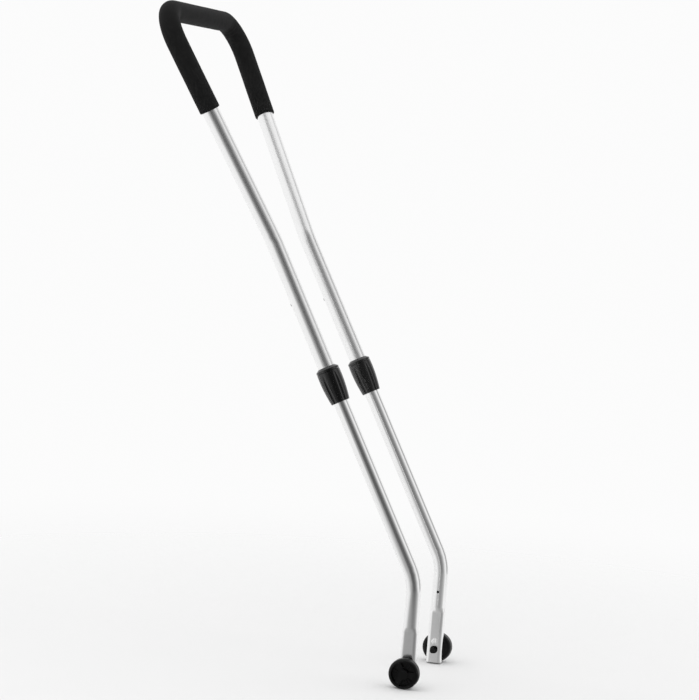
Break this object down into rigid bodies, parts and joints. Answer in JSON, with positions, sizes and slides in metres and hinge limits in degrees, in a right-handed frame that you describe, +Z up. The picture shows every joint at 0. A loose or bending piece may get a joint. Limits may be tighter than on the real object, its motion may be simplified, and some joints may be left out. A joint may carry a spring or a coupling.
{
  "type": "telescopic push handle",
  "caption": "U-shaped push handle with a foam grip, two telescoping legs with twist-lock collars, and bent flattened feet with hand knobs for bolting to a ride-on vehicle.",
  "frame": {"origin": "midway between the two mounting studs, on the mid-plane of the feet", "axes": "+Z up along the feet, +X across to the right foot, and the grip leans towards -Y where the person pushes"},
  "size_m": [0.3552, 0.4617, 0.9698],
  "materials": {
    "tube_aluminium": "satin anodised",
    "foam": "matt foam",
    "black_nylon": "satin moulded",
    "grey_acetal": "smooth moulded",
    "knob_plastic": "fine textured",
    "rivet_steel": "plated",
    "bright_steel": "plated",
    "dark_steel": "black oxide"
  },
  "bodies": {
    "legs": {"left_lower_tube": "tube_aluminium", "left_guide_bush": "black_nylon", "left_foot_bush": "black_nylon", "left_locating_pin": "bright_steel", "right_lower_tube": "tube_aluminium", "right_guide_bush": "black_nylon", "right_foot_bush": "black_nylon", "right_locating_pin": "bright_steel"},
    "handle": {"handle_tube": "tube_aluminium", "foam_grip": "foam", "left_stop_rivet": "rivet_steel", "left_collar_body": "black_nylon", "left_clamp_ring": "grey_acetal", "right_stop_rivet": "rivet_steel", "right_collar_body": "black_nylon", "right_clamp_ring": "grey_acetal"},
    "left_nut": {"left_clamp_nut": "black_nylon"},
    "left_washer": {"left_knob_washer": "bright_steel"},
    "left_hand_knob": {"left_knob": "knob_plastic", "left_knob_stud": "dark_steel", "left_stud_clip": "dark_steel", "left_knob_cap": "knob_plastic"},
    "right_nut": {"right_clamp_nut": "black_nylon"},
    "right_washer": {"right_knob_washer": "bright_steel"},
    "right_hand_knob": {"right_knob": "knob_plastic", "right_knob_stud": "dark_steel", "right_stud_clip": "dark_steel", "right_knob_cap": "knob_plastic"}
  },
  "joints": [
    {"name": "handle_slide", "type": "slide", "parent": "legs", "child": "handle", "axis": [0, -0.4695, 0.8829], "range_m": [-0.07, 0.05]},
    {"name": "left_nut_turn", "type": "hinge", "parent": "handle", "child": "left_nut", "pos_m": [-0.09, -0.14413, 0.40607], "axis": [0, -0.4695, 0.8829], "range_deg": [0, 60]},
    {"name": "left_knob_draw", "type": "slide", "parent": "legs", "child": "left_washer", "axis": [-1, 0, 0], "range_m": [0, 0.006]},
    {"name": "left_knob_spin", "type": "hinge", "parent": "left_washer", "child": "left_hand_knob", "pos_m": [-0.09, 0, 0], "axis": [-1, 0, 0], "continuous": true},
    {"name": "right_nut_turn", "type": "hinge", "parent": "handle", "child": "right_nut", "pos_m": [0.09, -0.14413, 0.40607], "axis": [0, -0.4695, 0.8829], "range_deg": [0, 60]},
    {"name": "right_knob_draw", "type": "slide", "parent": "legs", "child": "right_washer", "axis": [1, 0, 0], "range_m": [0, 0.006]},
    {"name": "right_knob_spin", "type": "hinge", "parent": "right_washer", "child": "right_hand_knob", "pos_m": [0.09, 0, 0], "axis": [1, 0, 0], "continuous": true}
  ]
}
